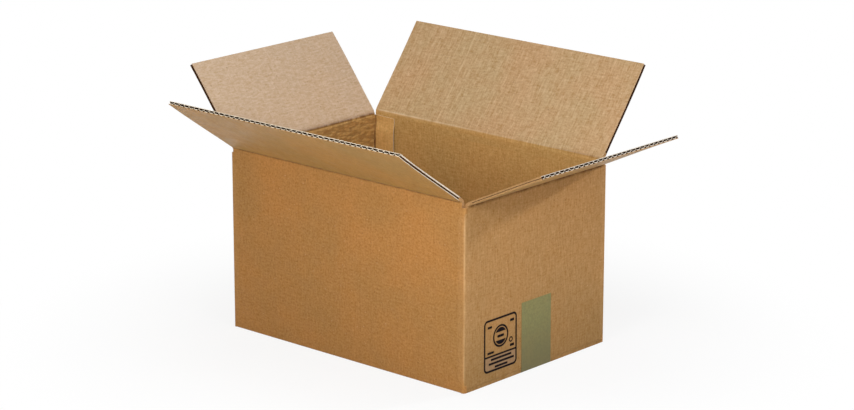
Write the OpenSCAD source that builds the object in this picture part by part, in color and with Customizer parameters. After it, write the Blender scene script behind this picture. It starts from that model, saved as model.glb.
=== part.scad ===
// Slotted shipping box of single-wall corrugated board, standing open.
// Four walls, a glue tab and two layers of bottom flaps are one folded sheet.
// The four top flaps swing on the folds at the rim, and one strip of tape holds the bottom.
// Length runs along X and width along Y. The box stands on Z = 0, centred on the origin.

/* [Box] */
// Outside length
box_l = 350; // [260:5:600]
// Outside width
box_w = 240; // [160:2:400]
// Height of the folds that carry the front and back flaps
box_h = 212; // [120:2:400]
// Length of each end flap, from its fold to its free edge
end_flap_l = 111; // [60:1:125]
// Gap left between the long flaps where they meet over the middle of the box
seam_gap = 3; // [1:0.5:8]

/* [Board] */
// Thickness of the board
board_t = 4; // [3:0.5:6]
// Distance from one flute to the next
flute_pitch = 7.75; // [6:0.25:10]
// Thickness of the flat sheet on each face of the board
liner_t = 0.5; // [0.3:0.1:0.7]
// Thickness of the fluted sheet in the middle of the board
medium_t = 0.4; // [0.3:0.1:0.6]
// Distance that the flutes stay open in from a free edge
flute_open = 20; // [5:1:40]
// Width of the crushed strip beside a fold, where the flutes are closed
crush_w = 8; // [8:1:15]
// Outside radius of a fold
fold_r = 2; // [1:0.25:3]

/* [Slots and clearances] */
// Distance from the end of the box to the side edge of a long flap
corner_in = 4; // [3:0.25:8]
// Room between a closed end flap and the wall beside it
side_clear = 0.75; // [0.5:0.25:3]
// Gap between layers of board that lie on each other
layer_gap = 0.3; // [0.1:0.1:1]
// Distance of each hinge line outside the face of its wall
hinge_out = 0.15; // [0.1:0.05:0.3]
// Distance from a hinge line to the board on either side of the fold
score_gap = 0.35; // [0.35:0.05:0.8]
// Distance that the corner slots run past the folds
slot_past = 1.5; // [1:0.25:3]

/* [Glue tab] */
// Width of the tab that joins the sheet into a sleeve
tab_w = 30; // [15:1:50]
// Length lost at each end of the tab, from its fold to its free edge
tab_taper = 10; // [0:1:25]

/* [Tape] */
// Width of the strip
tape_w = 50; // [24:1:75]
// Height that the strip reaches on the short walls
tape_rise = 80; // [30:1:95]
// Thickness of the strip
tape_t = 0.2; // [0.1:0.05:0.3]

/* [Lean of the top flaps] */
// Front flap, in degrees outwards from upright
front_lean = 55; // [-85:1:170]
// Right flap, in degrees outwards from upright
right_lean = 65; // [-85:1:170]
// Back flap, in degrees outwards from upright
back_lean = 37; // [-85:1:170]
// Left flap, in degrees outwards from upright
left_lean = 38; // [-85:1:170]

/* [Hidden] */
$fn = 48;

kraft = "#b98955";
kraft_inside = "#c79a67";
tape_green = "#7f7c4f";

// The end folds lie one layer inside the long ones, at the bottom and at the rim
layer_step = board_t + layer_gap;
end_fold_low = layer_step;
end_fold_top = box_h - layer_step;
long_flap_l = box_w / 2 - seam_gap / 2;
long_flap_w = box_l - 2 * corner_in;
end_side_in = board_t + side_clear;
end_flap_w = box_w - 2 * end_side_in;

// Depth that one form of the sheet reaches into the next, where they are joined
sheet_join = 1;

// Wave of the fluted sheet about the middle of the board.
// Angles along it, in degrees from a crest, of its bend and of the point where it meets the liner
flute_rise = board_t / 2 - liner_t - medium_t / 2;
bend_angle = 60;
mouth_angle = 150;

// Flutes that fit in a width, a whole number of them
function flute_count(width) = floor(width / flute_pitch);

// Height of the hollow under a crest, at an angle of the wave from that crest
function hollow_top(angle) = board_t / 2 - medium_t / 2 + flute_rise * cos(angle);

// Hollow under one crest, centred on x = 0
function hollow_outline(pitch) = concat(
    [[-mouth_angle / 360 * pitch, liner_t]],
    [for (angle = [-bend_angle, 0, bend_angle]) [angle / 360 * pitch, hollow_top(angle)]],
    [[mouth_angle / 360 * pitch, liner_t]]
);

// One hollow of the board: the even ones open on the outer liner, the odd ones on the inner liner
module hollow(index, pitch) {
    odd = index % 2;
    translate([0, odd * board_t])
        mirror([0, odd])
            polygon(hollow_outline(pitch));
}

// Section across the flutes, outer face on y = 0, with the hollows whose numbers are listed
module board_section(width, hollows) {
    pitch = width / flute_count(width);
    difference() {
        translate([-width / 2, 0])
            square([width, board_t]);
        for (index = hollows)
            translate([-width / 2 + index * pitch / 2, 0])
                hollow(index, pitch);
    }
}

// Numbers of all the hollows across a width, and of the two that its side edges cut open
function all_hollows(width) = [for (index = [0 : 2 * flute_count(width)]) index];
function edge_hollows(width) = [0, 2 * flute_count(width)];

// Slides a section drawn in (Y, Z) along X, centred
module along_x(width) {
    rotate([90, 0, 90])
        linear_extrude(width, center = true)
            children();
}

// Upright flap on a hinge line along X: outer face towards -Y, flutes running up.
// Its foot is cut back at 45 degrees, so that it can close onto the rim and fold down outside.
module top_flap(width, length) {
    open_from = length - flute_open;
    translate([0, hinge_out, 0]) {
        along_x(width)
            polygon([
                [0, score_gap],
                [board_t, score_gap + board_t],
                [board_t, crush_w],
                [0, crush_w]
            ]);
        translate([0, 0, crush_w - sheet_join])
            linear_extrude(open_from - crush_w + sheet_join)
                board_section(width, edge_hollows(width));
        translate([0, 0, open_from - sheet_join])
            linear_extrude(flute_open + sheet_join)
                board_section(width, all_hollows(width));
    }
}

// Sets a flap on the fold of one side: turn is the side's direction, half its distance out
module on_fold(turn, half, fold_z, lean) {
    rotate([0, 0, turn])
        translate([0, -half - hinge_out, fold_z])
            rotate([lean, 0, 0])
                children();
}

// Wall of a side, with the 45 degree cut at its rim and the rounded fold at its foot.
// under lists the points of the folded-in flap's lower face, from the fold to its free edge.
module wall_profile(low, top, flap_l, under) {
    polygon(concat(
        [[0, low + fold_r], [0, top - score_gap], [board_t, top - score_gap - board_t]],
        [[board_t, low + board_t], [flap_l, low + board_t]],
        under,
        [[fold_r, low]]
    ));
    translate([fold_r, low + fold_r])
        circle(fold_r);
}

// Front wall with its bottom flap, whose lower face is let in by the tape's thickness
module long_side() {
    tape_edge = (box_w - tape_w) / 2 - layer_gap;
    translate([0, -box_w / 2, 0])
        along_x(long_flap_w)
            wall_profile(0, box_h, long_flap_l, [
                [long_flap_l, tape_t],
                [tape_edge, tape_t],
                [tape_edge, 0]
            ]);
}

// End wall with its bottom flap, whose flutes are open along the free edge inside the box
module end_side() {
    solid_l = end_flap_l - flute_open;
    translate([0, -box_l / 2, 0]) {
        along_x(end_flap_w)
            wall_profile(end_fold_low, end_fold_top, solid_l, [[solid_l, end_fold_low]]);
        translate([0, solid_l - sheet_join, end_fold_low + board_t])
            rotate([-90, 0, 0])
                linear_extrude(flute_open + sheet_join)
                    board_section(end_flap_w, all_hollows(end_flap_w));
    }
}

// Plan of the walls, with rounded upright folds
module wall_plan() {
    difference() {
        union() {
            square([box_l - 2 * fold_r, box_w], center = true);
            square([box_l, box_w - 2 * fold_r], center = true);
            for (x = [-1, 1], y = [-1, 1])
                translate([x * (box_l / 2 - fold_r), y * (box_w / 2 - fold_r)])
                    circle(fold_r);
        }
        square([box_l - 2 * board_t, box_w - 2 * board_t], center = true);
    }
}

// The four walls between their folds, in one run round the corners
module sleeve() {
    low = end_fold_low + board_t;
    top = end_fold_top - score_gap - board_t;
    translate([0, 0, low])
        linear_extrude(top - low)
            wall_plan();
}

// The four corners between the sides, from slot to slot
module corner_posts() {
    translate([0, 0, slot_past])
        linear_extrude(end_fold_top - 2 * slot_past)
            difference() {
                wall_plan();
                square([long_flap_w, box_w], center = true);
                square([box_l, end_flap_w], center = true);
            }
}

// Tab of the left wall, glued inside the back wall, with its ends cut at a slant
module glue_tab() {
    tab_low = end_fold_low + layer_step;
    tab_top = end_fold_top - board_t - slot_past;
    translate([-box_l / 2 + board_t, box_w / 2 - board_t + sheet_join, 0])
        rotate([90, 0, 0])
            linear_extrude(board_t + sheet_join)
                polygon([
                    [-sheet_join, tab_low],
                    [0, tab_low],
                    [tab_w, tab_low + tab_taper],
                    [tab_w, tab_top - tab_taper],
                    [0, tab_top],
                    [-sheet_join, tab_top]
                ]);
}

module box_body() {
    color(kraft) {
        for (turn = [0, 180])
            rotate([0, 0, turn])
                long_side();
        for (turn = [90, 270])
            rotate([0, 0, turn])
                end_side();
        sleeve();
        corner_posts();
        glue_tab();
    }
}

module front_flap() {
    color(kraft)
        on_fold(0, box_w / 2, box_h, front_lean)
            top_flap(long_flap_w, long_flap_l);
}

module back_flap() {
    color(kraft_inside)
        on_fold(180, box_w / 2, box_h, back_lean)
            top_flap(long_flap_w, long_flap_l);
}

module right_flap() {
    color(kraft)
        on_fold(90, box_l / 2, end_fold_top, right_lean)
            top_flap(end_flap_w, end_flap_l);
}

module left_flap() {
    color(kraft_inside)
        on_fold(270, box_l / 2, end_fold_top, left_lean)
            top_flap(end_flap_w, end_flap_l);
}

// Strip of tape along the bottom seam and up both short walls.
// Between the edge of the long flaps and the fold of the end wall it runs straight, just clear of that fold.
module bottom_tape() {
    bend_x = box_l / 2 - corner_in + layer_gap;
    to_fold = [box_l / 2 - fold_r - bend_x, end_fold_low + fold_r - tape_t];
    slope = atan2(to_fold.y, to_fold.x) - asin((fold_r + hinge_out) / norm(to_fold));
    bend_z = tape_t + (box_l / 2 - bend_x) * tan(slope);
    // Shift of each bend between the sticky face and the outer face
    bend_z_out = bend_z - tape_t * tan((90 - slope) / 2);
    bend_x_out = bend_x + tape_t * tan(slope / 2);
    half_inner = [[box_l / 2, tape_rise], [box_l / 2, bend_z], [bend_x, tape_t]];
    half_outer = [[bend_x_out, 0], [box_l / 2 + tape_t, bend_z_out], [box_l / 2 + tape_t, tape_rise]];
    color(tape_green)
        rotate([90, 0, 0])
            linear_extrude(tape_w, center = true)
                polygon(concat(
                    half_inner,
                    [for (index = [2 : -1 : 0]) [-half_inner[index].x, half_inner[index].y]],
                    [for (index = [2 : -1 : 0]) [-half_outer[index].x, half_outer[index].y]],
                    half_outer
                ));
}

box_body();
front_flap();
back_flap();
right_flap();
left_flap();
bottom_tape();
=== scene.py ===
"""Open shipping box of single-wall corrugated kraft board, dressed for the render.

The sheet is drawn in millimetres and written to the meshes in metres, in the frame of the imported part.
Each flap is two thin liners with a real fluted sheet between them, so its cut edges show open flutes.
A strip of pressed board crosses each top fold and bends with the flap.
Every surface keeps the place that it had on the flat blank as its UV map, in metres:
U runs round the box, across the flutes, and V runs up the walls and flaps, along them.
"""

import bpy
import numpy as np
from mathutils import Matrix, Vector


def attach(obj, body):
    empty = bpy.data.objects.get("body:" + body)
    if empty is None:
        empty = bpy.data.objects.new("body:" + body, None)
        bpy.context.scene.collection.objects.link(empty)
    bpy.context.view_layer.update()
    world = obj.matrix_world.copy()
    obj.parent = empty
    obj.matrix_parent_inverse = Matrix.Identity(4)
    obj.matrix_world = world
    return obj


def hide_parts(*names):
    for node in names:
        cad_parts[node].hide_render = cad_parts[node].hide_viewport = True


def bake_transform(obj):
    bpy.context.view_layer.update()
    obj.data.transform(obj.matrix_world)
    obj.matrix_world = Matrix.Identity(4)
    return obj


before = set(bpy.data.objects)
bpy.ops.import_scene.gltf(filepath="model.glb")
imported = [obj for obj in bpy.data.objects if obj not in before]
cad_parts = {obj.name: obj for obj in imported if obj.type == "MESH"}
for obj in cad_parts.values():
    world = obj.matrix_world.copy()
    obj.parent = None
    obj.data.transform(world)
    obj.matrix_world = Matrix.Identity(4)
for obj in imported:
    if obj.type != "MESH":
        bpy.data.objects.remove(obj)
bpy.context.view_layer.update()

MM = 0.001

# Sizes of the box, as in the part's source
BOX_L, BOX_W, BOX_H = 350.0, 240.0, 212.0
BOARD = 4.0
LAYER = 4.3
HINGE_OUT = 0.15
SCORE = 0.35
LONG_W, LONG_L = 342.0, 118.5
END_W, END_L = 230.5, 111.0
END_LOW, END_TOP = LAYER, BOX_H - LAYER
SLOT = 1.5
PITCH = 7.75
TAPE_W, TAPE_RISE = 50.0, 80.0
TAB_W = 30.0

# Thickness of each liner and of the fluted sheet between them
LINER = 0.62
MEDIUM = 0.8
# Power of the flutes' wave, which makes its crests narrow at the inner liner
FLUTE_POWER = 4
# Radius of the upright corners
CORNER = 3.5
# Heights between which the four walls are one plain sleeve
FOOT, HEAD = 9.0, 200.0
# Distance from the end of a wall to the slot beside it, on the long walls and on the end walls
LONG_SLOT_IN, END_SLOT_IN = 3.93, 4.68
# Outer radius of the folds at the foot of the long walls and of the end walls
LONG_FOLD_R, END_FOLD_R = 2.2, 0.9

# For each top flap: turn about Z, half the box across its fold, fold height, lean outwards in degrees,
# width, length, and U on the blank at its middle
TOP_FLAPS = {
    "front_flap": (0, BOX_W / 2, BOX_H, 55, LONG_W, LONG_L, 415.0),
    "right_flap": (90, BOX_L / 2, END_TOP, 65, END_W, END_L, 710.0),
    "back_flap": (180, BOX_W / 2, BOX_H, 37, LONG_W, LONG_L, 1005.0),
    "left_flap": (270, BOX_L / 2, END_TOP, 38, END_W, END_L, 120.0),
}
# For each wall, by its turn about Z: half the box across it, half its own length, and U at its middle
WALLS = {
    0: (BOX_W / 2, BOX_L / 2, 415.0),
    90: (BOX_L / 2, BOX_W / 2, 710.0),
    180: (BOX_W / 2, BOX_L / 2, 1005.0),
    270: (BOX_L / 2, BOX_W / 2, 120.0),
}
# The inside of the sheet has its places this much further along U
INSIDE_U = 1400.0
# The long bottom flaps reach a little nearer to the end walls than the slots at the rim do
LONG_BOTTOM_W = 348.8
# Places of the finishes in BOARD_FINISH
OUTER, INNER, FLUTE, CUT, PRESSED, PRINTED, WALL, WRINKLED, LEFT, FLAP, TAB = range(11)


# Surfaces

def turned(points, turn):
    """Turns points about Z by a whole number of quarter turns."""
    c, s = {0: (1, 0), 90: (0, 1), 180: (-1, 0), 270: (0, -1)}[turn]
    x, y, z = np.moveaxis(np.asarray(points, float), -1, 0)
    return np.stack([c * x - s * y, s * x + c * y, z], -1)


def on_side(x, t, z, turn):
    """Point of a wall: x along it, t in from its outer face, z up."""
    half = WALLS[turn][0]
    x, t, z = np.broadcast_arrays(x, t, z)
    return turned(np.stack([x, t - half, z], -1), turn)


def on_top_fold(x, t, s, name, share=1.0):
    """Point of a top flap: x across it, t in from its outer face, s from its hinge line to its free edge.
    It is turned about the hinge line by share times the flap's lean."""
    turn, half, fold_z, lean = TOP_FLAPS[name][:4]
    x, t, s, share = np.broadcast_arrays(x, t, s, share)
    angle = np.radians(lean) * share
    y = HINGE_OUT + t
    out = y * np.cos(angle) - s * np.sin(angle)
    up = y * np.sin(angle) + s * np.cos(angle)
    return turned(np.stack([x, out - half - HINGE_OUT, up + fold_z], -1), turn)


def on_bottom_fold(x, t, s, turn, low):
    """Point of a bottom flap: x along its fold, t up from its outer face, s in from the wall's face."""
    half = WALLS[turn][0]
    x, t, s = np.broadcast_arrays(x, t, s)
    return turned(np.stack([x, s - half, low + t], -1), turn)


def grid(points, uv, mat, fold=0.0, flip=False):
    """Quads over a grid of points (rows, columns, 3) with the blank's place (rows, columns, 2) at each."""
    rows, cols = points.shape[:2]
    index = np.arange(rows * cols).reshape(rows, cols)
    quads = np.stack([index[:-1, :-1], index[1:, :-1], index[1:, 1:], index[:-1, 1:]], -1).reshape(-1, 4)
    if flip:
        quads = quads[:, ::-1]
    return {
        "points": points.reshape(-1, 3),
        "quads": quads,
        "uv": np.broadcast_to(uv, (rows, cols, 2)).reshape(-1, 2),
        "mat": np.full(len(quads), mat),
        "fold": np.broadcast_to(fold, (rows, cols)).reshape(-1),
    }


def slab(place, uv_at, a, b, low, high, mats, fold=0.0):
    """Closed sheet between two surfaces over the same grid of (a, b).
    place(a, b, depth) gives a point, and low and high are the two depths. mats are the low face, the high
    face, the rims at the ends of b and, where it has a fourth, the rims at the ends of a."""
    aa, bb = np.meshgrid(a, b, indexing="ij")
    low = np.broadcast_to(low, aa.shape)
    high = np.broadcast_to(high, aa.shape)
    fold = np.broadcast_to(fold, aa.shape)
    under, over = place(aa, bb, low), place(aa, bb, high)
    uv = uv_at(aa, bb)
    parts = [grid(under, uv, mats[0], fold), grid(over, uv, mats[1], fold, flip=True)]
    for pick, flip, mat in (
        ((slice(0, 1), slice(None)), False, mats[-1]),
        ((slice(-1, None), slice(None)), True, mats[-1]),
        ((slice(None), slice(0, 1)), True, mats[2]),
        ((slice(None), slice(-1, None)), False, mats[2]),
    ):
        edge = np.stack([under[pick].reshape(-1, 3), over[pick].reshape(-1, 3)], 0)
        place_uv = np.repeat(uv[pick].reshape(1, -1, 2), 2, 0)
        parts.append(grid(edge, place_uv, mat, fold[pick].reshape(1, -1), flip))
    return parts


def swept(profile, x, place, uv_at, mats, fold=0.0):
    """Closed bar: a closed profile of points (depth, along) carried along x, with a fan over each end.
    mats holds one number for each side of the profile, and one more for the ends.
    fold may be a function of x and the profile's point."""
    profile = np.asarray(profile, float)
    loop = np.vstack([profile, profile[:1]])
    xx = np.asarray(x, float)
    parts = []
    for k in range(len(profile)):
        side = loop[k:k + 2]
        t, s = np.meshgrid(side[:, 0], xx, indexing="ij")[0], np.meshgrid(side[:, 1], xx, indexing="ij")[0]
        grown = np.broadcast_to(xx, t.shape)
        shade = fold(grown, t, s) if callable(fold) else fold
        parts.append(grid(place(grown, t, s), uv_at(grown, s), mats[k], shade, flip=True))
    middle = profile.mean(0)
    for end, flip in ((0, True), (-1, False)):
        ring = place(np.full(len(loop), xx[end]), loop[:, 0], loop[:, 1])
        hub = np.broadcast_to(place(np.array([xx[end]]), middle[:1], middle[1:]), ring.shape)
        uv = uv_at(np.full(len(loop), xx[end]), loop[:, 1])
        parts.append(grid(np.stack([ring, hub], 0), np.stack([uv, uv], 0), mats[-1], 0.0, flip))
    return parts


def piece(name, parts, materials, body=None, smooth_angle=35.0):
    """Joins parts into one mesh: equal points become one, and quads that lose a corner become triangles."""
    start = np.cumsum([0] + [len(p["points"]) for p in parts])
    points = np.vstack([p["points"] for p in parts])
    quads = np.vstack([p["quads"] + n for p, n in zip(parts, start)])
    uv = np.vstack([p["uv"] for p in parts])
    mat = np.concatenate([p["mat"] for p in parts])
    fold = np.concatenate([p["fold"] for p in parts])
    _, first, same = np.unique(np.round(points, 3), axis=0, return_index=True, return_inverse=True)
    same = same.reshape(-1)
    joined = same[quads]
    kept_fold = np.zeros(len(first))
    kept_fold[same] = fold
    repeat = joined == np.roll(joined, -1, axis=1)
    whole = ~repeat.any(1)
    three = repeat.sum(1) == 1
    corner = np.argmax(repeat[three], 1)
    keep = (corner[:, None] + np.array([1, 2, 3])) % 4
    tri_old = np.take_along_axis(quads[three], keep, 1)
    tri = np.take_along_axis(joined[three], keep, 1)
    used, mat = np.unique(mat, return_inverse=True)
    mesh = bpy.data.meshes.new(name)
    mesh.from_pydata((points[first] * MM).tolist(), [], joined[whole].tolist() + tri.tolist())
    loops_old = np.concatenate([quads[whole].ravel(), tri_old.ravel()])
    layer = mesh.uv_layers.new(name="blank")
    layer.data.foreach_set("uv", (uv[loops_old] * MM).astype(np.float32).ravel())
    mesh.polygons.foreach_set("material_index", np.concatenate([mat[whole], mat[three]]).astype(np.int32))
    mesh.attributes.new("fold", "FLOAT", "POINT").data.foreach_set("value", kept_fold.astype(np.float32))
    for number in used:
        mesh.materials.append(materials[number])
    mesh.shade_smooth()
    mesh.set_sharp_from_angle(angle=np.radians(smooth_angle))
    mesh.validate()
    made = bpy.data.objects.new(name, mesh)
    bpy.context.scene.collection.objects.link(made)
    if body:
        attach(made, body)
    return made


def near(distance, reach):
    """1 on a fold line, falling smoothly to 0 at reach."""
    share = np.clip(1 - np.abs(distance) / reach, 0, 1)
    return share * share * (3 - 2 * share)


def flap_parts(place, uv_out, uv_in, width, root, length, warp, outside, inside, edge=CUT, let_in=None,
               core_from=None, phase=0.0, side=None):
    """Two liners and the fluted sheet between them, all three moved in depth by warp(x, s).
    The sheet's wave runs across the flap, with a whole number of flutes: a cosine, brought to 0 to 1 and
    taken to FLUTE_POWER, so that it is narrow at the inner liner and wide at the outer one.
    phase is its angle at the first side edge, and core_from is where the flutes begin.
    outside and inside are the finishes of the faces, edge that of the cut at both ends of the flap, and
    side that of its side edges. let_in(x, s) is how deep the outer liner is sunk."""
    side = edge if side is None else side
    # A cut outer liner is browner than the inner one
    outer_edge = PRESSED if edge == CUT else edge
    count = int(width // PITCH)
    x = np.linspace(-width / 2, width / 2, int(width // 6) + 1)
    s = np.concatenate([np.linspace(root, root + 12, 5)[:-1], np.linspace(root + 12, length, 20)])
    xx, ss = np.meshgrid(x, s, indexing="ij")
    lift = warp(xx, ss)
    sink = let_in(xx, ss) if let_in else 0.0
    outer = lift + sink
    parts = slab(place, uv_out, x, s, outer, outer + LINER, (outside, FLUTE, outer_edge, side))
    inner_side = inside if side == FLUTE else side
    inner_mats = (FLUTE, inside, edge, inner_side)
    parts += slab(place, uv_in, x, s, lift + BOARD - LINER, lift + BOARD, inner_mats)
    if side == PRESSED:
        # Two bars crush each side edge shut, apart from a thin slit between them
        crush_from, crush_to = width / 2 - 1.5, width / 2 - 0.12
        slit_low, slit_high = 1.75, 2.35
        bar_mats = (FLUTE, FLUTE, FLUTE, PRESSED)
        for sign in (-1, 1):
            a = np.sort([sign * crush_from, sign * crush_to])
            lifted = warp(*np.meshgrid(a, s, indexing="ij"))
            for low, high in ((LINER, slit_low), (slit_high, BOARD - LINER)):
                parts += slab(place, uv_in, a, s, lifted + low, lifted + high, bar_mats)
    start = root if core_from is None else core_from
    points_per_flute = 16
    set_back = 0.25
    fine = np.linspace(-width / 2, width / 2, count * points_per_flute + 1)
    rows = np.array([start, (start + length) / 2, length - 12, length - set_back])
    ff, rr = np.meshgrid(fine, rows, indexing="ij")
    middle = BOARD / 2 + warp(ff, rr)
    swing = BOARD / 2 - LINER - MEDIUM / 2
    raised = 0.5 + 0.5 * np.cos(2 * np.pi * (ff + width / 2) / width * count + phase)
    wave = middle + swing * (2 * raised ** FLUTE_POWER - 1)
    sheet_mats = (FLUTE, FLUTE, edge, side)
    parts += slab(place, uv_in, fine, rows, wave - MEDIUM / 2, wave + MEDIUM / 2, sheet_mats)
    return parts


# Materials

class Nodes:
    """Short way to add nodes to one material, or to the world, and wire them."""

    def __init__(self, owner):
        """Starts with no nodes."""
        self.owner = owner
        owner.use_nodes = True
        self.tree = owner.node_tree
        self.tree.nodes.clear()

    def add(self, kind, inputs=None, **settings):
        """Node of one kind. inputs has a wire or a plain value for each socket that isn't left as it is."""
        node = self.tree.nodes.new(kind)
        for key, value in settings.items():
            setattr(node, key, value)
        for key, value in (inputs or {}).items():
            socket = node.inputs[key]
            if isinstance(value, bpy.types.NodeSocket):
                self.tree.links.new(value, socket)
            else:
                socket.default_value = value
        return node

    def math(self, operation, a, b=0.0, c=0.0):
        """Result of one arithmetic node."""
        return self.add("ShaderNodeMath", {0: a, 1: b, 2: c}, operation=operation).outputs[0]

    def scaled(self, vector, scale):
        """Vector times a scale along each axis."""
        return self.add("ShaderNodeMapping", {"Vector": vector, "Scale": scale}).outputs[0]

    def noise(self, vector, scale, detail=2.0, roughness=0.5, distortion=0.0):
        """Soft noise about 0.5."""
        return self.add("ShaderNodeTexNoise", {
            "Vector": vector, "Scale": scale, "Detail": detail,
            "Roughness": roughness, "Distortion": distortion,
        }).outputs[0]

    def ramp(self, value, low, high, to_low=0.0, to_high=1.0):
        """Smooth step from to_low to to_high, as the value goes from low to high."""
        return self.add("ShaderNodeMapRange", {
            "Value": value, "From Min": low, "From Max": high, "To Min": to_low, "To Max": to_high,
        }, interpolation_type="SMOOTHSTEP").outputs[0]

    def mix(self, factor, a, b, blend="MIX"):
        """Colour a, changed towards colour b by a factor."""
        node = self.add("ShaderNodeMix", data_type="RGBA", blend_type=blend, clamp_factor=True)
        for socket, value in ((node.inputs[0], factor), (node.inputs[6], a), (node.inputs[7], b)):
            if isinstance(value, bpy.types.NodeSocket):
                self.tree.links.new(value, socket)
            else:
                socket.default_value = value
        return node.outputs[2]

    def finish(self, **inputs):
        """Gives the material its shader. A socket's name is written with _ for each space."""
        sockets = {key.replace("_", " "): value for key, value in inputs.items()}
        shader = self.add("ShaderNodeBsdfPrincipled", sockets)
        self.add("ShaderNodeOutputMaterial", {"Surface": shader.outputs[0]})
        return self.owner


def srgb(r, g, b):
    """Colour as it is seen on a screen, 0 to 255, turned to the linear numbers that the shader wants."""
    c = np.array([r, g, b]) / 255
    return (*np.where(c <= 0.04045, c / 12.92, ((c + 0.055) / 1.055) ** 2.4), 1.0)


def box_distance(n, u, v, middle, half, radius):
    """Distance to a rounded rectangle, negative inside it: length of the part of |p| - half + radius
    that is above 0, less the radius."""
    across = n.math("ADD", n.math("ABSOLUTE", n.math("SUBTRACT", u, middle[0])), radius - half[0])
    along = n.math("ADD", n.math("ABSOLUTE", n.math("SUBTRACT", v, middle[1])), radius - half[1])
    beyond = {0: n.math("MAXIMUM", across, 0.0), 1: n.math("MAXIMUM", along, 0.0)}
    outside = n.add("ShaderNodeCombineXYZ", beyond)
    reach = n.add("ShaderNodeVectorMath", {0: outside.outputs[0]}, operation="LENGTH").outputs["Value"]
    inside = n.math("MINIMUM", n.math("MAXIMUM", across, along), 0.0)
    return n.math("SUBTRACT", n.math("ADD", reach, inside), radius)


def ring_distance(n, u, v, middle, radius):
    """Distance to a circle, negative inside it."""
    apart = {0: n.math("SUBTRACT", u, middle[0]), 1: n.math("SUBTRACT", v, middle[1])}
    offset = n.add("ShaderNodeCombineXYZ", apart)
    reach = n.add("ShaderNodeVectorMath", {0: offset.outputs[0]}, operation="LENGTH").outputs["Value"]
    return n.math("SUBTRACT", reach, radius)


def printed_frame(n, u, v):
    """Ink of the printed frame on the right wall, and the tint below its divider, each 0 to 1.
    It is a rounded frame with a divider, a ring with two filled segments, a small ring, four short bars in
    the corners and three long ones below the divider, drawn in millimetres on the blank."""
    # Half the width over which the ink's edge goes soft
    soft = 0.3

    def stroke(distance, width):
        """Line of a width along the outline from which the distance is measured."""
        return n.ramp(n.math("ABSOLUTE", distance), width / 2 - soft, width / 2 + soft, 1.0, 0.0)

    def filled(distance):
        """Everything inside the outline."""
        return n.ramp(distance, -soft, soft, 1.0, 0.0)

    panel_middle, panel_half = (649.8, 43.6), (26.2, 28.6)
    divider_middle, divider_half = (649.8, 31.5), (26.2, 1.05)
    seal = (650.2, 51.6)
    # Middle and half size of each bar
    corner_bars = (
        ((632.2, 64.6), (3.6, 1.3)),
        ((669.2, 65.2), (3.4, 1.5)),
        ((633.6, 35.6), (5.4, 1.3)),
        ((669.2, 36.9), (3.6, 1.5)),
    )
    long_bars = (
        ((651.0, 27.5), (17.0, 1.25)),
        ((651.4, 23.0), (21.0, 1.25)),
        ((651.0, 18.5), (10.6, 1.25)),
    )
    frame_line = box_distance(n, u, v, panel_middle, panel_half, 4.5)
    marks = [stroke(frame_line, 2.4)]
    marks.append(filled(box_distance(n, u, v, divider_middle, divider_half, 0.2)))
    marks.append(stroke(ring_distance(n, u, v, seal, 11.6), 2.3))
    disc = filled(ring_distance(n, u, v, seal, 9.6))
    off_middle = n.math("ABSOLUTE", n.math("SUBTRACT", v, seal[1]))
    segments = n.ramp(off_middle, 4.2, 5.0)
    marks.append(n.math("MULTIPLY", disc, segments))
    marks.append(filled(box_distance(n, u, v, seal, (5.6, 1.5), 1.4)))
    marks.append(stroke(ring_distance(n, u, v, (667.2, 43.4), 2.4), 1.6))
    for middle, half in corner_bars + long_bars:
        marks.append(filled(box_distance(n, u, v, middle, half, 0.4)))
    ink = marks[0]
    for mark in marks[1:]:
        ink = n.math("MAXIMUM", ink, mark)
    lower = n.math("MULTIPLY", filled(frame_line), n.ramp(v, 31.2, 31.8, 1.0, 0.0))
    return ink, lower


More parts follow.
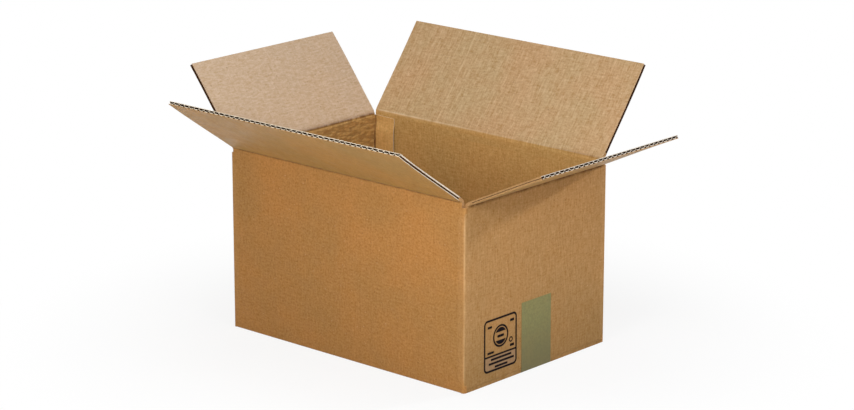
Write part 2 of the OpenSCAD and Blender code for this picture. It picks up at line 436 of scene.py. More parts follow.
def kraft(name, tone, other, worn, specks, dashes, threads, streaks, patches=0.03,
          gloss=0.64, shine=0.3, foot=None, wrinkled=False, printed=False, seam=None):
    """Kraft liner over flutes.
    Colour: two tones clouded into each other, times the paper's grain: patches, specks of about 2 mm,
    dashes across the flutes, threads along them and streaks that give each flute its own tone. Over that
    lie dark and pale flecks, the worn tone along worn folds, partly wear and partly a painted highlight,
    and a brown line of painted shade in creases and inside corners.
    Height: the wave of the flutes that shows through, the grain and the patches, in millimetres.
    gloss is the roughness, and shine the strength of the sheen. foot is the height in metres over which
    a wall is darker, a painted shade, and the share at its foot. seam is the blank's U of a line in the
    worn tone, in millimetres.
    wrinkled adds puckers of the liner, and printed the frame on the right wall."""
    n = Nodes(bpy.data.materials.new(name))
    place = n.add("ShaderNodeUVMap", uv_map="blank").outputs[0]
    split = n.add("ShaderNodeSeparateXYZ", {0: place})
    u, v = split.outputs[0], split.outputs[1]
    cloud = n.noise(place, 9.0, 3.0, 0.6)
    patch = n.noise(place, 60.0, 3.0, 0.6)
    speck = n.noise(place, 420.0, 2.0, 0.7)
    dash = n.noise(n.scaled(place, (120.0, 430.0, 1.0)), 1.0, 2.0, 0.6, 0.6)
    thread = n.noise(n.scaled(place, (460.0, 70.0, 1.0)), 1.0, 2.0, 0.6, 0.3)
    drift = n.noise(n.scaled(place, (14.0, 3.0, 1.0)), 1.0, 1.0)
    across = n.math("MULTIPLY_ADD", drift, 0.0012, u)
    wave = n.math("SINE", n.math("MULTIPLY", across, 2 * np.pi / (PITCH * MM)))
    each = n.noise(n.scaled(place, (129.0, 2.5, 1.0)), 1.0, 1.0)
    flute_tone, flute_wave = streaks * 2.2, streaks * 0.35
    shade = 1.0 - (patches + specks + dashes + threads + flute_tone) / 2
    grain = (
        (patch, patches), (speck, specks), (dash, dashes), (thread, threads),
        (each, flute_tone), (wave, flute_wave),
    )
    for value, amount in grain:
        shade = n.math("MULTIPLY_ADD", value, amount, shade)
    body = n.mix(n.ramp(cloud, 0.32, 0.68), tone, other)
    # Pale fibres are whiter than dark ones, so blue follows the shade more than red does
    fibres = n.add("ShaderNodeCombineColor", {
        0: n.math("MULTIPLY_ADD", shade, 0.72, 0.28), 1: shade, 2: n.math("MULTIPLY_ADD", shade, 1.6, -0.6),
    })
    body = n.mix(1.0, body, fibres.outputs[0], "MULTIPLY")
    dark = n.ramp(n.noise(n.scaled(place, (430.0, 300.0, 1.0)), 1.0, 1.0), 0.68, 0.80, 0.0, 0.5)
    body = n.mix(dark, body, srgb(96, 62, 32))
    pale = n.ramp(n.noise(n.scaled(place, (330.0, 480.0, 1.0)), 1.0, 1.0), 0.70, 0.82, 0.0, 0.4)
    body = n.mix(pale, body, srgb(226, 200, 164))
    # fold at each point: above 0 a pale rub in the worn tone, partly wear and partly a painted highlight,
    # and below 0 a brown line of painted shade in creases and inside corners
    fold = n.add("ShaderNodeAttribute", attribute_name="fold").outputs["Fac"]
    ragged = n.ramp(n.noise(n.scaled(place, (160.0, 45.0, 1.0)), 1.0, 3.0), 0.30, 0.62, 0.45, 1.0)
    rub_and_highlight = n.math("MAXIMUM", fold, 0.0)
    body = n.mix(n.math("MULTIPLY", rub_and_highlight, ragged), body, worn)
    crease_shade = n.math("MAXIMUM", n.math("MULTIPLY", fold, -1.0), 0.0)
    body = n.mix(n.math("MULTIPLY", crease_shade, ragged), body, srgb(92, 54, 24))
    if seam:
        off = n.math("ABSOLUTE", n.math("SUBTRACT", n.math("MULTIPLY_ADD", drift, 0.001, u), seam * MM))
        line = n.ramp(off, 0.0004, 0.0016, 1.0, 0.0)
        body = n.mix(n.math("MULTIPLY", line, n.ramp(patch, 0.3, 0.6, 0.08, 0.32)), body, worn)
    if foot:
        # Painted shade: a wall is a little darker towards its foot
        reach, share = foot
        body = n.mix(n.ramp(v, -0.01, reach, share, 0.0), body, srgb(90, 82, 44))
    if printed:
        ink, lower = printed_frame(n, n.math("MULTIPLY", u, 1000.0), n.math("MULTIPLY", v, 1000.0))
        body = n.mix(n.math("MULTIPLY", lower, 0.35), body, srgb(150, 128, 112))
        cover = n.math("MULTIPLY", ink, n.ramp(speck, 0.25, 0.50, 0.94, 1.0))
        body = n.mix(cover, body, srgb(2, 1, 10))
    rough = n.ramp(patch, 0.3, 0.7, gloss - 0.06, gloss + 0.08)
    height = n.math("MULTIPLY", wave, 0.03)
    relief = ((speck, specks * 0.14), (dash, dashes * 0.16), (thread, threads * 0.14), (patch, 0.10))
    for value, amount in relief:
        height = n.math("MULTIPLY_ADD", value, amount, height)
    if wrinkled:
        # Flat domes in short cells across the flutes, with the cells' edges bent by a noise
        slow = n.scaled(place, (60.0, 90.0, 1.0))
        sway = n.add("ShaderNodeTexNoise", {"Vector": slow, "Scale": 1.0, "Detail": 2.0}).outputs["Color"]
        short = n.scaled(place, (120.0, 290.0, 1.0))
        shift = {0: sway, 1: (0.8, 0.8, 0.0), 2: short}
        bent = n.add("ShaderNodeVectorMath", shift, operation="MULTIPLY_ADD").outputs[0]
        spread = {"Vector": bent, "Scale": 1.0, "Smoothness": 0.6}
        cell = n.add("ShaderNodeTexVoronoi", spread, feature="SMOOTH_F1").outputs["Distance"]
        dome = n.ramp(cell, 0.15, 0.75, 1.0, 0.0)
        where = n.ramp(n.noise(n.scaled(place, (18.0, 30.0, 1.0)), 1.0, 1.0), 0.30, 0.60, 0.45, 1.0)
        toward = n.ramp(u, 1.45, 1.60, 1.0, 0.2)
        pucker = n.math("MULTIPLY", n.math("MULTIPLY", dome, where), toward)
        height = n.math("MULTIPLY_ADD", pucker, 0.8, height)
        # Painted shade in the hollows between the domes
        body = n.mix(n.math("MULTIPLY", n.ramp(dome, 0.0, 0.5, 0.34, 0.0), toward), body, srgb(112, 68, 30))
    bump = n.add("ShaderNodeBump", {"Strength": 1.0, "Distance": MM, "Height": height}).outputs[0]
    return n.finish(Base_Color=body, Roughness=rough, Normal=bump, Specular_IOR_Level=shine)


def cut_board(name, colour, spots):
    """Cut, pressed or hidden board: one dull colour with soft brown spots of a strength."""
    n = Nodes(bpy.data.materials.new(name))
    place = n.add("ShaderNodeTexCoord").outputs["Object"]
    fuzz = n.noise(place, 900.0, 3.0, 0.7)
    body = n.mix(n.ramp(fuzz, 0.35, 0.65, 0.0, spots), colour, srgb(120, 82, 46))
    bump = n.add("ShaderNodeBump", {"Strength": 0.6, "Distance": 0.0002, "Height": fuzz}).outputs[0]
    return n.finish(Base_Color=body, Roughness=0.85, Normal=bump, Specular_IOR_Level=0.1)


def packing_tape(name):
    """Thin olive film on kraft, with a painted shade that darkens it towards the seam at the floor, and the
    paper's clouds and grain seen through it.
    """
    n = Nodes(bpy.data.materials.new(name))
    place = n.add("ShaderNodeTexCoord").outputs["Object"]
    cloud = n.noise(place, 45.0, 3.0, 0.6)
    grain = n.noise(place, 420.0, 3.0, 0.6)
    level = n.add("ShaderNodeSeparateXYZ", {0: place}).outputs[2]
    # Painted shade: darker below 8 cm, towards the floor
    body = n.mix(n.ramp(level, 0.0, 0.08, 0.0, 1.0), srgb(107, 99, 51), srgb(134, 130, 71))
    body = n.mix(n.ramp(cloud, 0.3, 0.7, 0.0, 0.30), body, srgb(130, 113, 58))
    body = n.mix(n.ramp(grain, 0.3, 0.7, 0.0, 0.34), body, srgb(88, 85, 42))
    bump = n.add("ShaderNodeBump", {"Strength": 0.25, "Distance": 0.0003, "Height": cloud}).outputs[0]
    return n.finish(Base_Color=body, Roughness=0.38, Normal=bump, Specular_IOR_Level=0.4)


# Two tones of the paper and the tone of its worn folds, on each face of the sheet. Only the outer and inner
# tones are the paper's own; the others are copies of them with painted light
OUTER_TONES = srgb(187, 130, 67), srgb(176, 127, 68), srgb(222, 182, 134)
# Right wall: paler and bluer than the outer tones, a painted sheen in place of the one that its low shine
# leaves out
PRINTED_SHEEN_TONES = srgb(183, 137, 84), srgb(178, 136, 85), srgb(222, 182, 134)
# Flap outsides: greener and greyer than the outer tones, painted light of the white floor below them
FLAP_FLOOR_LIT_TONES = srgb(179, 132, 66), srgb(168, 129, 67), srgb(222, 182, 134)
# Glue tab: lighter than the inside walls, painted light on the tab's face
TAB_LIT_TONES = srgb(219, 170, 102), srgb(212, 167, 102), srgb(222, 186, 140)
INNER_TONES = srgb(190, 153, 111), srgb(186, 157, 115), srgb(222, 196, 158)
# Inside walls and the wrinkled left wall: warmer and more saturated than the inner tones, painted warm
# light bounced round the inside
WALL_BOUNCE_TONES = srgb(199, 155, 93), srgb(192, 153, 93), srgb(210, 172, 122)
WRINKLED_BOUNCE_TONES = srgb(204, 159, 97), srgb(194, 153, 91), srgb(210, 172, 122)
# Left flap's inside: paler and pinker than the inner tones, a painted sheen
LEFT_SHEEN_TONES = srgb(210, 181, 150), srgb(206, 179, 150), srgb(226, 206, 180)
BOARD_FINISH = [
    # The outer walls, and the printed right wall more so, carry a painted shade towards their foot
    kraft("kraft_outer", *OUTER_TONES, 1.0, 0.42, 0.36, 0.025, foot=(0.20, 0.13)),
    kraft("kraft_inner", *INNER_TONES, 0.55, 0.80, 0.90, 0.045, patches=0.14, seam=2481.0),
    # Far darker than the paper: a painted shade in the flutes' hollows and on the back and left flaps' side
    # edges
    cut_board("flute_painted_shade", srgb(72, 44, 24), 0.4),
    cut_board("cut_pale", srgb(234, 221, 200), 0.12),
    cut_board("pressed_edge", srgb(190, 148, 100), 0.4),
    kraft("kraft_printed_sheen", *PRINTED_SHEEN_TONES, 0.72, 0.44, 0.72, 0.022,
          shine=0.05, foot=(0.11, 0.30), printed=True),
    kraft("kraft_wall_inside_bounce", *WALL_BOUNCE_TONES, 0.75, 0.55, 0.60, 0.022),
    kraft("kraft_wrinkled_bounce", *WRINKLED_BOUNCE_TONES, 0.60, 0.60, 0.30, 0.02, wrinkled=True),
    kraft("kraft_left_inside_sheen", *LEFT_SHEEN_TONES, 0.40, 0.72, 0.26, 0.015),
    kraft("kraft_flap_outside_floor_lit", *FLAP_FLOOR_LIT_TONES, 0.90, 0.42, 0.36, 0.025, gloss=0.52, shine=0.42),
    kraft("kraft_tab_lit", *TAB_LIT_TONES, 0.60, 0.45, 0.60, 0.03),
]
olive_tape = packing_tape("olive_tape")


# Walls

def blank_uv(middle, inside=False):
    """Place on the flat blank of a point x along a wall and v up from its bottom fold."""
    shift = middle + (INSIDE_U if inside else 0.0)
    return lambda x, v: np.stack([x + shift, v + np.zeros_like(x)], -1)


def plan_column(turn, x, depth):
    """Plan of the wall at x along it and depth in from its outer face. The last CORNER millimetres
    follow an eighth of a circle up to the corner's diagonal, and the rest is straight."""
    reach = WALLS[turn][1]
    size = max(CORNER - depth, 0.3)
    straight = np.minimum(np.abs(x), reach - CORNER) * (reach - depth - size) / (reach - CORNER)
    angle = np.pi / 4 * np.clip((np.abs(x) - reach + CORNER) / CORNER, 0, 1)
    return np.sign(x) * (straight + size * np.sin(angle)), depth + size * (1 - np.cos(angle))


def bulge(turn, x, z):
    """How far a panel stands out at x along it and height z: a cosine along it times a sine up the sleeve.
    The long walls bow outwards and the end walls inwards."""
    size = {0: 0.7, 90: -0.5, 180: 0.7, 270: -0.6}[turn]
    reach = WALLS[turn][1]
    share = np.clip((z - FOOT) / (HEAD - FOOT), 0, 1)
    return size * np.cos(np.pi / 2 * np.clip(x / reach, -1, 1)) * np.sin(np.pi * share)


def wall_points(turn, x, z, depth):
    """Outer or inner face of a wall."""
    xs, ts = plan_column(turn, x, depth)
    return on_side(xs, ts - bulge(turn, x, z), z, turn)


def sleeve():
    """The four walls between their folds, one closed tube: outer face, inner face and a rim at each end."""
    parts = []
    outside = {0: OUTER, 90: PRINTED, 180: OUTER, 270: OUTER}
    inside = {0: WALL, 90: WALL, 180: WALL, 270: WRINKLED}
    # Columns lie close together on the corners' curves and just beside them, and 8 mm apart after that
    beside = CORNER + np.array([0.8, 1.8, 3.2, 5.0, 7.0, 10.0])
    curve = np.concatenate([np.linspace(0, CORNER, 7), beside])
    for turn, (_, reach, middle) in WALLS.items():
        flat = np.linspace(-reach + CORNER + 14, reach - CORNER - 14, int(2 * reach // 8))
        x = np.unique(np.round(np.concatenate([-reach + curve, flat, reach - curve]), 5))
        z = np.linspace(FOOT, HEAD, 26)
        xx, zz = np.meshgrid(x, z, indexing="ij")
        outer = wall_points(turn, xx, zz, 0.0)
        inner = wall_points(turn, xx, zz, BOARD)
        edge = reach - np.abs(xx)
        # A pale rub on the upright fold, partly wear and partly a painted highlight, and a faint one over
        # the centimetre beside it
        corner_rub_and_highlight = 0.45 * near(edge, 1.8) + 0.09 * np.clip((10.0 - edge) / 3, 0, 1)
        parts.append(grid(outer, blank_uv(middle)(xx, zz), outside[turn], corner_rub_and_highlight))
        # Painted shade: a brown line in each inside corner. The tab lies over the left wall's far corner,
        # so the line there runs beside the tab
        beside_tab = 3.6 * ((turn == 270) & (xx > 0))
        line = -1.0 * near(edge - CORNER - beside_tab, 2.6)
        parts.append(grid(inner, blank_uv(middle, True)(xx, zz), inside[turn], line, flip=True))
        for row, flip in ((0, True), (-1, False)):
            rim = np.stack([outer[:, row], inner[:, row]], 0)
            uv = np.stack([blank_uv(middle)(x, x * 0)] * 2, 0)
            parts.append(grid(rim, uv, FLUTE, 0.0, flip))
    return parts


walls = piece("walls", sleeve(), BOARD_FINISH, "box")
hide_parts("box_body")


def wall_rims():
    """Heads of the walls, between the slots: straight up, then cut back at 45 degrees below the fold."""
    parts = []
    for turn, (_, _, middle) in WALLS.items():
        long_side = turn in (0, 180)
        top = (BOX_H if long_side else END_TOP) - SCORE
        width = LONG_W if long_side else END_W
        x = np.linspace(-width / 2, width / 2, 40)
        profile = [(0, HEAD), (0, top - 3), (0, top - 1.5), (0, top), (BOARD, top - BOARD), (BOARD, HEAD)]
        skin = PRINTED if turn == 90 else OUTER
        lining = WRINKLED if turn == 270 else WALL
        # Painted shade below the top fold, deeper and wider on the right wall, under the right flap
        deep, far = (-0.9, 3.0) if turn == 90 else (-0.5, 1.5)

        def place(a, t, s, turn=turn):
            """Point of the head."""
            return on_side(a, t, s, turn)

        def crease(a, t, s, top=top, deep=deep, far=far):
            """Painted shade on the outer face: a brown line, darkest at the cut and gone at far below it.
            """
            return np.where(t < 0.1, deep * near(top - s, far), 0.0)

        mats = (skin, skin, skin, FLUTE, lining, FLUTE, PRESSED)
        parts += swept(profile, x, place, blank_uv(middle), mats, crease)
    return parts


rims = piece("wall_rims", wall_rims(), BOARD_FINISH, "box")
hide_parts("box_body")


def corner_blocks():
    """The four corners, from the walls' straight part to the slots, above and below the sleeve.
    Each is a pressed block of board whose outer corner follows the walls' curve."""
    # Height of the lower blocks above the ground, and the slack with which the curve's points are picked
    block_low, hair = 0.4, 0.01
    face = np.array([0.0])
    parts = []
    for turn, next_turn in ((0, 90), (90, 180), (180, 270), (270, 0)):
        reach, next_reach = WALLS[turn][1], WALLS[next_turn][1]
        long_side = turn in (0, 180)
        slot_in, next_in = (LONG_SLOT_IN, END_SLOT_IN) if long_side else (END_SLOT_IN, LONG_SLOT_IN)
        slot_x, next_x = np.array([reach - slot_in]), np.array([-next_reach + next_in])
        a = np.linspace(reach - CORNER, reach, 9)
        xs, ts = plan_column(turn, a, 0.0)
        b = np.linspace(-next_reach, -next_reach + CORNER, 9)
        xn, tn = plan_column(next_turn, b, 0.0)
        for low, high in ((block_low, FOOT), (HEAD, END_TOP - SLOT)):
            ring = np.vstack([
                on_side(slot_x, face, low, turn),
                on_side(xs, ts, low, turn)[xs >= slot_x - hair],
                on_side(xn, tn, low, next_turn)[1:][xn[1:] <= next_x + hair],
                on_side(next_x, face, low, next_turn),
                on_side(slot_x, np.array([next_in]), low, turn),
            ])
            ring = np.vstack([ring, ring[:1]])
            up = np.array([0, 0, high - low])
            uv = np.zeros((2, len(ring), 2)) + [WALLS[turn][2] + reach, low]
            uv[..., 0] += np.linspace(-5, 5, len(ring))
            uv[1, :, 1] = high
            # The blocks' outer faces take a pale rub, partly wear and partly a painted highlight, as the
            # upright folds do
            parts.append(grid(np.stack([ring, ring + up], 1).transpose(1, 0, 2), uv, OUTER, 0.4, flip=True))
            hub = ring[:-1].mean(0)
            for level, flip in ((0, True), (1, False)):
                loop = ring + up * level
                fan = np.stack([loop, np.broadcast_to(hub + up * level, loop.shape)], 0)
                parts.append(grid(fan, uv, PRESSED, 0.0, flip))
    return parts


blocks = piece("corner_blocks", corner_blocks(), BOARD_FINISH, "box")
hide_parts("box_body")


# Bottom

def bottom_folds():
    """Foot of each wall: a bar whose outer corner is a quarter circle, and whose inner corner is square."""
    parts = []
    turn_points = np.radians(np.linspace(0, 90, 9))
    # The end folds hang this much below their flaps
    hang = 0.25
    for turn, (_, _, middle) in WALLS.items():
        long_side = turn in (0, 180)
        low = 0.0 if long_side else END_LOW - hang
        radius = LONG_FOLD_R if long_side else END_FOLD_R
        width = LONG_W if long_side else END_W
        x = np.linspace(-width / 2, width / 2, 40)
        bend = [(radius * (1 - np.cos(q)), low + radius * (1 - np.sin(q))) for q in turn_points]
        profile = [(BOARD, FOOT), (0, FOOT), *bend, (FOOT, low), (FOOT, low + BOARD), (BOARD, low + BOARD)]
        skin = PRINTED if turn == 90 else OUTER
        mats = (FLUTE, *[skin] * (len(bend) + 1), FLUTE, WALL, WALL, FLUTE)

        def place(a, t, s, turn=turn):
            """Point of the fold."""
            return on_side(a, t, s, turn)

        parts += swept(profile, x, place, blank_uv(middle), mats)
    return parts


folds = piece("bottom_folds", bottom_folds(), BOARD_FINISH, "box")
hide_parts("box_body")


def tape_bed(x, s):
    """How deep a long bottom flap's outer liner is sunk at s in from its wall: a straight slope just
    outside the tape's edge, level under the tape and nothing elsewhere."""
    depth, outside, slope = 0.22, 1.5, 1.2
    tape_edge = (BOX_W - TAPE_W) / 2
    return depth * np.clip((s - tape_edge + outside) / slope, 0, 1)


def bottom_flaps(turns, width, length, low):
    """Folded-in flaps: liners and flutes, with the long ones let in along the tape."""
    # Pressed band on each side edge of a long flap: how far it reaches in and out from that edge, where it
    # begins, and its distance from both faces and from the free edge
    band_in, band_out, band_from, skin = 0.8, 0.02, 4.7, 0.1
    parts = []
    for turn in turns:
        middle = WALLS[turn][2]
        place = lambda x, s, t, turn=turn: on_bottom_fold(x, t, s, turn, low)
        uv_out = lambda x, s, m=middle: np.stack([x + m, -s], -1)
        uv_in = lambda x, s, m=middle: np.stack([x + m + INSIDE_U, -s], -1)
        flat = lambda x, s: x * 0.0
        let_in = tape_bed if low == 0 else None
        parts += flap_parts(place, uv_out, uv_in, width, FOOT, length, flat, OUTER, WALL, OUTER, let_in)
        if low > 0:
            continue
        # The side edges of the long flaps are pressed shut, and show as one plain band below the end walls
        for sign in (-1, 1):
            a = np.sort([sign * (width / 2 - band_in), sign * (width / 2 + band_out)])
            b = np.linspace(band_from, length - skin, 30)
            sunk = let_in(*np.meshgrid(a, b, indexing="ij"))
            # The bands take the printed wall's finish for its stronger painted shade towards the foot
            parts += slab(place, uv_out, a, b, sunk + skin, BOARD - skin, (PRINTED, PRINTED, PRINTED))
    return parts


long_flaps = bottom_flaps((0, 180), LONG_BOTTOM_W, LONG_L, 0.0)
end_flaps = bottom_flaps((90, 270), END_W, END_L, END_LOW)
long_bottom = piece("long_bottom_flaps", long_flaps, BOARD_FINISH, "box")
end_bottom = piece("end_bottom_flaps", end_flaps, BOARD_FINISH, "box")
for made in (long_bottom, end_bottom):
    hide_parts("box_body")


def glue_tab():
    """Tab glued inside the back wall at the left corner: a liner over a core that stops short of its edge.
    Each end slants by taper over the tab's width. The tab thins a little towards its free edge, and its top
    end is pressed flat, out of the closed left flap's way: the thickness falls to that of the liner along
    a smooth step."""
    # Rows are closer together in the pressed part at the top
    plain_rows, pressed_rows = 27, 21
    x = np.linspace(0, TAB_W, 31)
    v = np.concatenate([np.linspace(0, 0.89, plain_rows), np.linspace(0.9, 1, pressed_rows)])
    low, high = LAYER + LAYER, END_TOP - 0.3
    taper = 0.6
    # Thickness, how much of it is lost at the free edge, and from how far off that edge
    full, lost, lost_from = 2.7, 0.4, 8
    # Height at which the slope to the pressed part begins, and its run
    press_from, press_run = 187.0, 16.0
    core_w, core_thick = 24, 1.6

    def place(a, b, depth):
        """Point a across the tab, b up it as a share of its height, and depth in from the back wall."""
        slant = a / TAB_W * taper
        z = low + slant + b * (high - low - 2 * slant)
        y = BOX_W / 2 - BOARD - depth
        return np.stack([a - BOX_L / 2 + BOARD, y, z], -1)

    def uv_at(a, b):
        """Place on the blank, beyond the left wall's end."""
        return np.stack([-a + INSIDE_U, low + b * (high - low)], -1)

    aa, vv = np.meshgrid(x, v, indexing="ij")
    z = place(aa, vv, 0.0 * aa)[..., 2]
    pressed = 1 - near(np.maximum(z - press_from, 0), press_run)
    standing = full - lost * near(TAB_W - aa, lost_from)
    thick = standing * (1 - pressed) + (LINER + 0.05) * pressed
    # Painted shade: a brown line along the tab's fold, in the inside corner
    line = -1.0 * near(np.maximum(aa - 1.6, 0), 1.5)
    parts = slab(place, uv_at, x, v, thick - LINER, thick, (FLUTE, TAB, CUT), line)
    core = np.linspace(0, core_w, 12)
    parts += slab(place, uv_at, core, v[1:plain_rows], 0.0, core_thick, (FLUTE, FLUTE, FLUTE))
    return parts


tab = piece("glue_tab", glue_tab(), BOARD_FINISH, "box")
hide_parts("box_body")


# Top flaps

def warp_of(name):
    """Slight bow of a flap: share squared of its length times what is left of it, brought to 1 at its
    highest, with none at the fold and the free edge. Across the flap it follows a cosine and a slant.
    Long flaps bow outwards and end flaps inwards, so none touch when closed."""
    to_one = 6.75
    width, length = TOP_FLAPS[name][4:6]
    size = {"front_flap": -0.9, "back_flap": -1.1, "right_flap": 0.6, "left_flap": 0.8}[name]
    lopsided = {"front_flap": 0.25, "back_flap": -0.3, "right_flap": 0.2, "left_flap": -0.25}[name]

    def bow(x, s):
        """Depth of the bow, x across the flap and s along it."""
        share = np.clip(s / length, 0, 1)
        along = size * to_one * share ** 2 * (1 - share)
        across = 0.6 + lopsided * x / width + 0.4 * np.cos(np.pi * x / width)
        return along * across

    return bow


def top_flap(name):
    """One top flap, with its root cut back at 45 degrees below the liners."""
    width, length, middle = TOP_FLAPS[name][4:7]
    place = lambda x, s, t: on_top_fold(x, t, s, name)
    uv_out = lambda x, s: np.stack([x + middle, s + BOX_H], -1)
    uv_in = lambda x, s: np.stack([x + middle + INSIDE_U, s + BOX_H], -1)
    root = SCORE + BOARD
    # The flutes begin inside the solid foot
    core_root, foot_top = root + 2.5, root + 3.0
    inside = LEFT if name == "left_flap" else INNER
    phase = np.pi / 2 if name == "right_flap" else 0.0
    # The back and left flaps' side edges take the dark flute finish, mostly a painted shade
    side = {"front_flap": CUT, "right_flap": PRESSED}.get(name, FLUTE)
    parts = flap_parts(place, uv_out, uv_in, width, root, length, warp_of(name), FLAP, inside,
                       core_from=core_root, phase=phase, side=side)
    x = np.linspace(-width / 2, width / 2, 40)
    foot = [(0, SCORE), (0, root), (LINER, foot_top), (BOARD - LINER, foot_top), (BOARD, root)]
    parts += swept(foot, x, lambda a, t, s: on_top_fold(a, t, s, name), uv_out,
                   (FLAP, FLUTE, FLUTE, FLUTE, FLUTE, PRESSED))
    made = piece(name + "_board", parts, BOARD_FINISH, name)
    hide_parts(name)
    return made


def fold_strip(name):
    """Pressed board across a top fold. Its section is a wedge: narrow outside, wide inside, with a shallow
    groove along the middle of both faces. Each point is turned about the hinge line by a smooth share
    of the flap's lean, which goes from 0 to 1 over the middle of the fold."""
    width, _, middle = TOP_FLAPS[name][4:7]
    reach = SCORE + BOARD
    bend = 0.6
    # Depth of the inner groove, counted outwards as negative, and its tone: above 0 a pale rub, partly wear
    # and partly a painted highlight, and below 0 a brown line of painted shade
    grooves = {
        "front_flap": (-0.5, 0.2),
        "right_flap": (-0.5, 0.2),
        "back_flap": (-0.35, 0.85),
        "left_flap": (-0.8, -0.75),
    }
    dip, shade = grooves[name]
    half_s = np.array([0.0, 0.15, 0.3, 0.45, 0.6, 0.9, 1.3, 2.2, reach])
    inner_s = np.concatenate([-half_s[:0:-1], half_s])
    inner_t = BOARD + dip * near(inner_s, 2.4)
    outer_s = np.linspace(SCORE + 0.12, -SCORE - 0.12, 5)
    outer_t = 0.02 + 0.25 * near(outer_s, 0.4)
    profile = np.vstack([np.stack([inner_t, inner_s], -1), np.stack([outer_t, outer_s], -1)])
    above, below = (LEFT, WRINKLED) if name == "left_flap" else (INNER, WALL)
    inner_sides, outer_sides = len(half_s) - 1, len(outer_s) - 1
    mats = [below] * inner_sides + [above] * inner_sides + [FLUTE] + [FLAP] * outer_sides + [FLUTE, PRESSED]

    def place(a, t, s):
        """Point of the strip, turned by its share of the lean."""
        share = np.clip((s + bend) / (2 * bend), 0, 1)
        return on_top_fold(a, t, s, name, share * share * (3 - 2 * share))

    def worn(a, t, s):
        """Tone of the crease: inside, the flap's own tone, which on the back flap goes from a brown painted
        shade to a pale rub and painted highlight along it, and painted shade outside."""
        line = -0.5 + (shade + 0.5) * np.clip(0.6 + a / width, 0, 1) if name == "back_flap" else shade
        return np.where(t > BOARD / 2, line * near(s, 0.9), -0.85)

    x = np.linspace(-width / 2, width / 2, 60)
    uv_in = lambda a, s: np.stack([a + middle + INSIDE_U, s + BOX_H], -1)
    parts = swept(profile, x, place, uv_in, mats, worn)
    made = piece(name + "_fold", parts, BOARD_FINISH)
    start = on_top_fold(0.0, BOARD, -bend, name, 0.0)
    end = on_top_fold(0.0, BOARD, bend, name, 1.0)
    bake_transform(made)
    return made


for flap_name in TOP_FLAPS:
    top_flap(flap_name)
    fold_strip(flap_name)


# Tape

def tape():
    """Thin film up both end walls and under the seam: a rounded path in X and Z, carried across the width
    of the strip. On the walls it follows their bow."""
    edge = BOX_L / 2
    off_wall, film = 0.05, 0.14
    climb = np.linspace(TAPE_RISE, FOOT, 8)
    # Sticky face round the wall's foot, from the wall to under the flaps
    bend = [
        (edge + off_wall, 5.0), (edge + off_wall, 1.4), (edge - 0.02, 0.8),
        (edge - 0.2, 0.4), (edge - 0.6, 0.21), (edge - 8.0, 0.19),
    ]
    inner = np.vstack([np.stack([np.full(8, edge + off_wall), climb], -1), bend])
    # Step from the sticky face to the outer one, which turns from sideways to down round the foot
    turning = [(0.13, -0.02), (0.11, -0.08), (0.08, -0.12), (0.02, -0.16), (0.0, -0.16)]
    step = np.vstack([np.tile([film, 0.0], (9, 1)), turning])
    outer = inner + step
    path_in = np.vstack([inner, inner[::-1] * [-1, 1]])
    path_out = np.vstack([outer, outer[::-1] * [-1, 1]])
    y = np.linspace(-TAPE_W / 2, TAPE_W / 2, 15)
    run = np.arange(len(path_in), dtype=float)

    def place(a, b, depth):
        """Point number a of the path, b across the strip, depth 0 outside and 1 on the sticky face."""
        k = a.astype(int)
        share = depth[..., None]
        point = path_out[k] * (1 - share) + path_in[k] * share
        right = point[..., 0] > 0
        bow = np.where(right, bulge(90, b, point[..., 1]), -bulge(270, b, point[..., 1]))
        return np.stack([point[..., 0] + bow, b, point[..., 1]], -1)

    def uv_at(a, b):
        """Place on the strip."""
        return np.stack([b, a * 10], -1)

    return slab(place, uv_at, run, y, 0.0, 1.0, (0, 0, 0))


strip = piece("seam_tape", tape(), [olive_tape], "box")
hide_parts("bottom_tape")


# Stage, light and camera

def floor():
    """Large pale disc just under the box. Far from it the colour runs into the white of the backdrop."""
    n = Nodes(bpy.data.materials.new("pale_floor"))
    place = n.add("ShaderNodeTexCoord").outputs["Object"]
    far = n.add("ShaderNodeVectorMath", {0: place}, operation="LENGTH").outputs["Value"]
    ray = n.add("ShaderNodeLightPath")
    mirrored = n.math("MAXIMUM", ray.outputs["Is Glossy Ray"], ray.outputs["Is Transmission Ray"])
    seen = n.math("MAXIMUM", ray.outputs["Is Camera Ray"], mirrored)
    white = n.add("ShaderNodeEmission", {"Color": (1, 1, 1, 1), "Strength": 1.0}).outputs[0]
    paper = n.add("ShaderNodeBsdfDiffuse", {"Color": (0.9, 0.9, 0.9, 1)}).outputs[0]
    blend = n.math("MULTIPLY", n.ramp(far, 0.20, 0.50, 0.86, 1.0), seen)
    surface = n.add("ShaderNodeMixShader", {0: blend, 1: paper, 2: white}).outputs[0]
    n.add("ShaderNodeOutputMaterial", {"Surface": surface})
    sides, radius, level = 128, 3, -0.0004
    angle = np.linspace(0, 2 * np.pi, sides + 1)[:-1]
    ring = np.stack([np.cos(angle) * radius, np.sin(angle) * radius, np.full(sides, level)], -1)
    mesh = bpy.data.meshes.new("floor")
    mesh.from_pydata(ring.tolist(), [], [list(range(sides))])
    mesh.materials.append(n.owner)
    made = bpy.data.objects.new("floor", mesh)
    bpy.context.scene.collection.objects.link(made)


def backdrop(ambient):
    """World: a faint even light of a strength on the object, and plain white where a camera ray, a mirrored
    one or one through clear matter meets it."""
    world = bpy.data.worlds.new("studio")
    bpy.context.scene.world = world
    n = Nodes(world)
    ray = n.add("ShaderNodeLightPath")
    seen = n.math("MAXIMUM", ray.outputs["Is Camera Ray"], ray.outputs["Is Glossy Ray"])
    seen = n.math("MAXIMUM", seen, ray.outputs["Is Transmission Ray"])
    soft = n.add("ShaderNodeBackground", {0: (0.96, 0.98, 1.0, 1), 1: ambient}).outputs[0]
    white = n.add("ShaderNodeBackground", {0: (1, 1, 1, 1), 1: 1.0}).outputs[0]
    choose = n.add("ShaderNodeMixShader", {0: seen, 1: soft, 2: white}).outputs[0]
    n.add("ShaderNodeOutputWorld", {0: choose})


AMBIENT = 0.144
floor()
backdrop(AMBIENT)


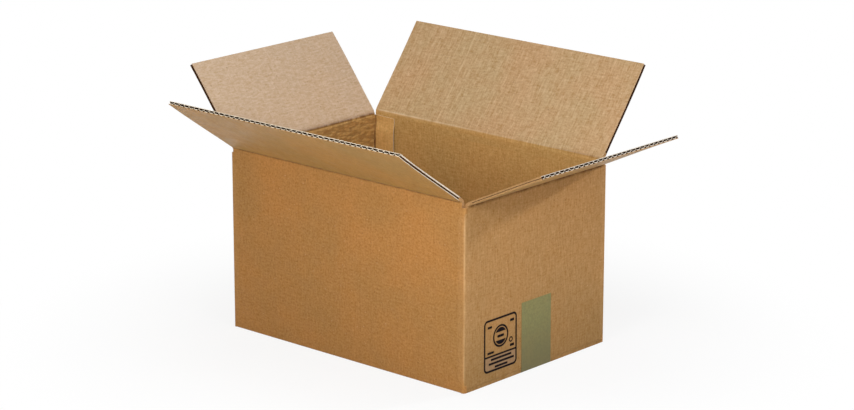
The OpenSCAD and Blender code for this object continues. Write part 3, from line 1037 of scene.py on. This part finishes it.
def lamp(name, place, aim, size, power, colour, cone=None):
    """Square soft box of a size at a place, turned to an aim. With a cone, in degrees, it is a round lamp
    of that radius whose light falls off towards the cone's edge."""
    data = bpy.data.lights.new(name, "SPOT" if cone else "AREA")
    data.energy, data.color = power, colour
    if cone:
        data.spot_size, data.spot_blend, data.shadow_soft_size = np.radians(cone), 0.75, size
    else:
        data.size = size
    made = bpy.data.objects.new(name, data)
    made.location = place
    made.rotation_euler = (Vector(aim) - Vector(place)).to_track_quat("-Z", "Y").to_euler()
    bpy.context.scene.collection.objects.link(made)


# Name, place, aim, size, power, colour and cone of each lamp, in metres, watts and degrees
LAMPS = (
    ("key", (0.36, -0.95, 0.60), (0.05, 0.0, 0.14), 0.30, 4.6, (1.0, 0.98, 0.91)),
    ("back", (0.612, 1.049, 0.585), (0.175, 0.0, 0.12), 0.027, 27.5, (0.98, 1.0, 1.10), 25.0),
    ("right", (0.95, -0.38, 0.58), (0.1, 0.0, 0.14), 0.35, 3.05, (0.98, 1.0, 1.08)),
    ("top", (-0.1, -0.2, 1.5), (0.0, 0.0, 0.15), 0.9, 8.91, (1.0, 1.0, 1.0)),
)
for settings in LAMPS:
    lamp(*settings)

scene = bpy.context.scene
scene.view_settings.view_transform = "Standard"

# The camera was fitted to the box's corners in the photograph: its angles in degrees, its place in
# millimetres along its own right, up and back, and its focal length in pixels of the photograph
azimuth, elevation, roll = np.radians([41.839, 15.733, 0.034])
SHIFT_RIGHT, SHIFT_UP, SHIFT_BACK = 10.849, 146.545, 3258.482
FOCAL, PHOTO_W, SENSOR_W = 2865.604, 854.0, 36.0
sideways = np.array([np.sin(azimuth), -np.cos(azimuth)]) * np.cos(elevation)
back = np.array([*sideways, np.sin(elevation)])
level = np.array([np.cos(azimuth), np.sin(azimuth), 0.0])
raised = np.cross(back, level)
right = np.cos(roll) * level + np.sin(roll) * raised
up = -np.sin(roll) * level + np.cos(roll) * raised
camera_data = bpy.data.cameras.new("camera")
camera_data.sensor_width = SENSOR_W
camera_data.lens = FOCAL * SENSOR_W / PHOTO_W
camera = bpy.data.objects.new("camera", camera_data)
spot = (right * SHIFT_RIGHT + up * SHIFT_UP + back * SHIFT_BACK) * MM
axes = np.array([right, up, back])
rows = [[*axes[:, k], spot[k]] for k in range(3)]
camera.matrix_world = Matrix(rows + [[0, 0, 0, 1]])
scene.collection.objects.link(camera)
scene.camera = camera

bpy.context.view_layer.update()
